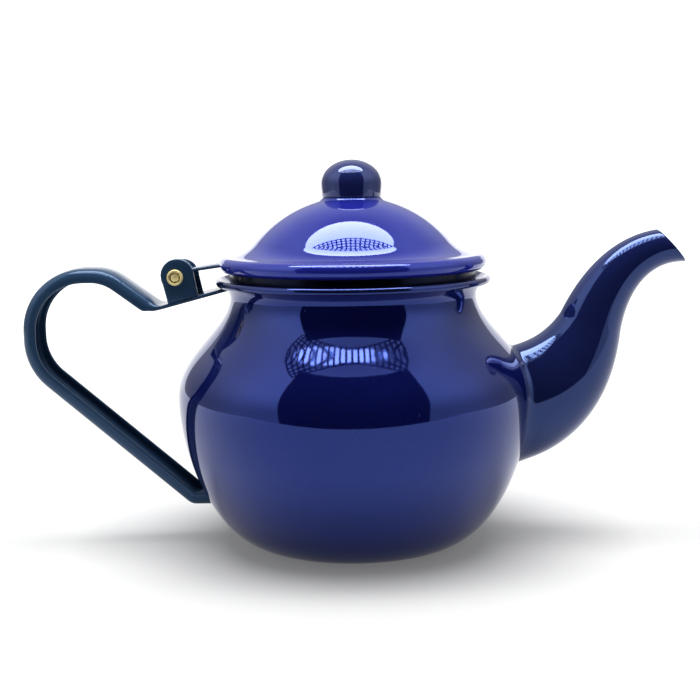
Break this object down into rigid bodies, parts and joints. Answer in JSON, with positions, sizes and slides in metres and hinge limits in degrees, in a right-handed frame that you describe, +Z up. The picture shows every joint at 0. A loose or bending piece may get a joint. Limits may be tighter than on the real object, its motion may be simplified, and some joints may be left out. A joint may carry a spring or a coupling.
{
  "type": "coffee percolator",
  "caption": "Bulbous enamelled camp coffee pot with swan-neck spout, channel handle, hinged domed lid with hollow knob, and a lift-out pump tube with perforated basket and spreader.",
  "frame": {"origin": "centre of the flat underside of the base, on the pot's axis", "axes": "+Z up along the pot's axis, +X towards the spout, -X towards the handle and the lid hinge"},
  "size_m": [0.2279, 0.1224, 0.1322],
  "materials": {
    "blue_enamel": "glossy cobalt-blue vitreous enamel on pressed steel",
    "lid_enamel": "glossy royal-blue vitreous enamel on pressed steel",
    "navy_enamel": "glossy navy vitreous enamel on pressed steel",
    "dark_enamel": "near-black vitreous enamel",
    "rivet_brass": "worn polished brass",
    "insert_aluminium": "satin spun aluminium"
  },
  "bodies": {
    "pot": {"pot_shell": "blue_enamel", "spout_half_near": "blue_enamel", "spout_half_far": "blue_enamel", "handle_strap": "blue_enamel", "hinge_bracket": "blue_enamel", "hinge_rivet": "rivet_brass"},
    "lid": {"lid_shell": "lid_enamel", "lid_collar": "dark_enamel", "lid_knob": "navy_enamel", "hinge_leaf": "navy_enamel"},
    "pump": {"pump_tube": "insert_aluminium", "pump_bell": "insert_aluminium", "tube_stop_ring": "insert_aluminium"},
    "basket": {"basket_cup": "insert_aluminium", "basket_guide_tube": "insert_aluminium"},
    "spreader": {"basket_spreader": "insert_aluminium"}
  },
  "joints": [
    {"name": "lid_hinge", "type": "hinge", "parent": "pot", "child": "lid", "pos_m": [-0.0605, 0, 0.0933], "axis": [0, -1, 0], "range_deg": [0, 110]},
    {"name": "pump_lift", "type": "slide", "parent": "pot", "child": "pump", "axis": [0, 0, 1], "range_m": [0, 0.006]},
    {"name": "basket_lift", "type": "slide", "parent": "pump", "child": "basket", "axis": [0, 0, 1], "range_m": [0, 0.005]},
    {"name": "spreader_lift", "type": "slide", "parent": "basket", "child": "spreader", "axis": [0, 0, 1], "range_m": [0, 0.005]}
  ]
}
